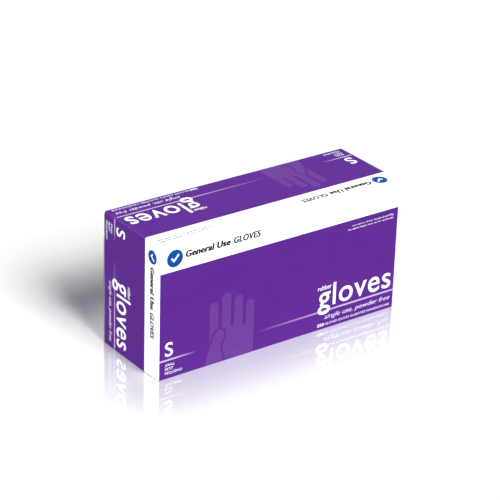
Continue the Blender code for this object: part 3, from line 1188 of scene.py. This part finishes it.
def make_camera():
    """The camera at the photograph's viewing angle, looking at its target."""
    level = cos(CAMERA_ELEVATION)
    back = Vector((sin(CAMERA_AZIMUTH) * level, -cos(CAMERA_AZIMUTH) * level, sin(CAMERA_ELEVATION)))
    right = (-back).cross(Vector((0, 0, 1))).normalized()
    up = right.cross(-back)
    across = cos(CAMERA_ROLL) * right + sin(CAMERA_ROLL) * up
    upward = cos(CAMERA_ROLL) * up - sin(CAMERA_ROLL) * right
    camera = add_object("camera", bpy.data.cameras.new("camera"))
    axes = Matrix((across, upward, back)).transposed().to_4x4()
    camera.matrix_world = Matrix.Translation(CAMERA_TARGET + back * CAMERA_DISTANCE) @ axes
    camera.data.sensor_width = CAMERA_SENSOR
    camera.data.lens = CAMERA_LENS
    camera.data.clip_start = 0.05
    camera.data.clip_end = 50
    bpy.context.scene.camera = camera


def vector_math(tree, operation, *values, output="Vector"):
    inputs = dict(enumerate(values))
    return add_node(tree, "ShaderNodeVectorMath", inputs, operation=operation).outputs[output]


def floor_finish():
    """Matt white, with a polish that shows near the carton and fades out around it."""
    material, tree, shader = new_material("pale_floor")
    shader.inputs["Base Color"].default_value = (FLOOR_WHITE, FLOOR_WHITE, FLOOR_WHITE, 1)
    shader.inputs["Roughness"].default_value = 0.7
    shader.inputs["Specular IOR Level"].default_value = 0.0
    place = add_node(tree, "ShaderNodeTexCoord").outputs["Object"]
    beyond = vector_math(tree, "SUBTRACT", vector_math(tree, "ABSOLUTE", place), (END, BACK, 0))
    clipped = vector_math(tree, "MAXIMUM", beyond, (0, 0, 0))
    inputs = {
        "Value": vector_math(tree, "LENGTH", clipped, output="Value"),
        "From Min": 0.0, "From Max": FLOOR_FADE, "To Min": FLOOR_POLISH, "To Max": 0.0,
    }
    share = add_node(tree, "ShaderNodeMapRange", inputs, interpolation_type="SMOOTHSTEP")
    gloss = add_node(tree, "ShaderNodeBsdfAnisotropic", {"Roughness": 0.06, "Color": (1, 1, 1, 1)})
    inputs = {0: share.outputs["Result"], 1: shader.outputs[0], 2: gloss.outputs[0]}
    both = add_node(tree, "ShaderNodeMixShader", inputs)
    tree.links.new(both.outputs[0], tree.nodes["Material Output"].inputs["Surface"])
    return material


def make_floor():
    mesh = bpy.data.meshes.new("floor")
    ways = ((-1, -1), (1, -1), (1, 1), (-1, 1))
    mesh.from_pydata([(x * FLOOR_HALF, y * FLOOR_HALF, 0) for x, y in ways], [], [(0, 1, 2, 3)])
    mesh.materials.append(floor_finish())
    floor = add_object("floor", mesh)
    floor.location.z = -FLOOR_DROP
    return floor


def make_light(name, light, place, target):
    obj = add_object(name, light)
    obj.location = place
    obj.rotation_mode = "QUATERNION"
    obj.rotation_quaternion = (Vector(target) - Vector(place)).to_track_quat("-Z", "Y")
    return obj


def make_key(name, way):
    """Half of one broad, tall light from the front, which also throws the shadow."""
    light = bpy.data.lights.new(name, "SUN")
    light.angle = KEY_SPREAD
    light.energy = KEY_STRENGTH / len(KEYS)
    make_light(name, light, way, (0, 0, 0))


def make_fill(name, place, power, spared):
    """A soft light on the carton. The floor is spared, so it throws no second shadow."""
    light = bpy.data.lights.new(name, "AREA")
    light.shape = "SQUARE"
    light.size = FILL_WIDTH
    light.energy = power
    fill = make_light(name, light, place, (0, 0, HEIGHT / 2))
    fill.light_linking.receiver_collection = spared


def make_world():
    """A dim white world, which is plain white where the camera or a mirrored ray meets it."""
    world = bpy.data.worlds.new("studio")
    world.use_nodes = True
    tree = world.node_tree
    background = tree.nodes["Background"]
    background.inputs["Color"].default_value = (1, 1, 1, 1)
    ray = add_node(tree, "ShaderNodeLightPath").outputs
    seen = arithmetic(tree, "ADD", ray["Is Camera Ray"], ray["Is Glossy Ray"])
    tree.links.new(spread(tree, seen, WORLD_STRENGTH, 1.0, 0.0, 1.0), background.inputs["Strength"])
    bpy.context.scene.world = world


def make_lights(floor):
    for name, way in KEYS:
        make_key(name, way)
    spared = bpy.data.collections.new("spared_by_fills")
    spared.objects.link(floor)
    spared.collection_objects[0].light_linking.link_state = "EXCLUDE"
    for name, place, power in FILLS:
        make_fill(name, place, power, spared)


# ---- everything

make_camera()
make_sleeve()
for side, sign in SIDES:
    make_closure(side, sign)
    make_tuck(side, sign)
    for level in ("upper", "lower"):
        make_dust_flap(side, sign, level)
make_window_flap()
make_thumb_tab()
print_front()
print_top()
for side, sign in SIDES:
    print_closure(side, sign)
print_back()
print_bottom()
make_gloves()
make_world()
make_lights(make_floor())
bpy.context.scene.view_settings.view_transform = "Standard"
